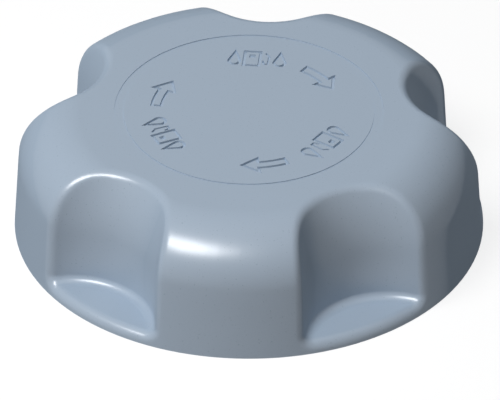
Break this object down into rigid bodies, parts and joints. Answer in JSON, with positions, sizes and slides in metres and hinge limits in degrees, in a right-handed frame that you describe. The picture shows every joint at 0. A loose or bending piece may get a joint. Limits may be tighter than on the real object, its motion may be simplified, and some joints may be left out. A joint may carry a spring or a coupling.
{
  "type": "fuel filler cap",
  "caption": "Round screw-on fuel filler cap with deep finger scallops, a torque-limiting face ratchet, and a pressure and vacuum relief valve in its threaded closure.",
  "frame": {"origin": "centre of the rim's lower face, where the cap's axis meets the surface it rests on", "axes": "+Z along the cap's axis, up out of the tank; +Y towards the middle of a finger scallop, -Y towards the middle of a lobe"},
  "size_m": [0.09, 0.09, 0.0258],
  "materials": {
    "grip_plastic": "moulded, satin",
    "closure_plastic": "moulded, satin black",
    "ratchet_plastic": "natural acetal, waxy",
    "valve_plastic": "glass-filled, natural",
    "seal_rubber": "matt",
    "zinc_steel": "zinc plated",
    "spring_steel": "bright drawn wire",
    "valve_brass": "turned",
    "filter_foam": "open-cell foam"
  },
  "bodies": {
    "grip": {"grip_shell": "grip_plastic", "retaining_ring": "closure_plastic", "retaining_screws": "zinc_steel", "slip_washer": "ratchet_plastic", "clutch_spring": "spring_steel"},
    "clutch": {"clutch_ring": "ratchet_plastic"},
    "closure": {"threaded_closure": "closure_plastic", "neck_gasket": "seal_rubber", "filter_sleeve": "filter_foam", "filter_clip": "zinc_steel", "valve_seat_cup": "valve_plastic", "cup_gasket": "seal_rubber", "cup_screws": "zinc_steel", "pressure_spring": "spring_steel"},
    "pressure_valve": {"pressure_plate": "valve_brass", "pressure_seal": "seal_rubber", "vacuum_spring": "spring_steel"},
    "vacuum_valve": {"vacuum_poppet": "valve_brass", "vacuum_seal": "seal_rubber", "vacuum_retainer": "spring_steel"}
  },
  "joints": [
    {"name": "closure_turn", "type": "hinge", "parent": "grip", "child": "closure", "pos_m": [0, 0, 0], "axis": [0, 0, 1], "range_deg": [0, 15.5], "stiffness_Nm_per_rad": 0.6},
    {"name": "clutch_lift", "type": "slide", "parent": "grip", "child": "clutch", "axis": [0, 0, 1], "range_m": [0, 0.00113], "deforming": ["clutch_spring"]},
    {"name": "pressure_lift", "type": "slide", "parent": "closure", "child": "pressure_valve", "axis": [0, 0, 1], "range_m": [0, 0.0022], "stiffness_N_per_m": 1500, "springref_m": -0.001, "deforming": ["pressure_spring"]},
    {"name": "vacuum_drop", "type": "slide", "parent": "pressure_valve", "child": "vacuum_valve", "axis": [0, 0, -1], "range_m": [0, 0.0015], "stiffness_N_per_m": 200, "springref_m": -0.001, "deforming": ["vacuum_spring"]}
  ],
  "couplings": [
    {"joint": "clutch_lift", "follows": "closure_turn", "m_per_rad": 0.0040444}
  ]
}
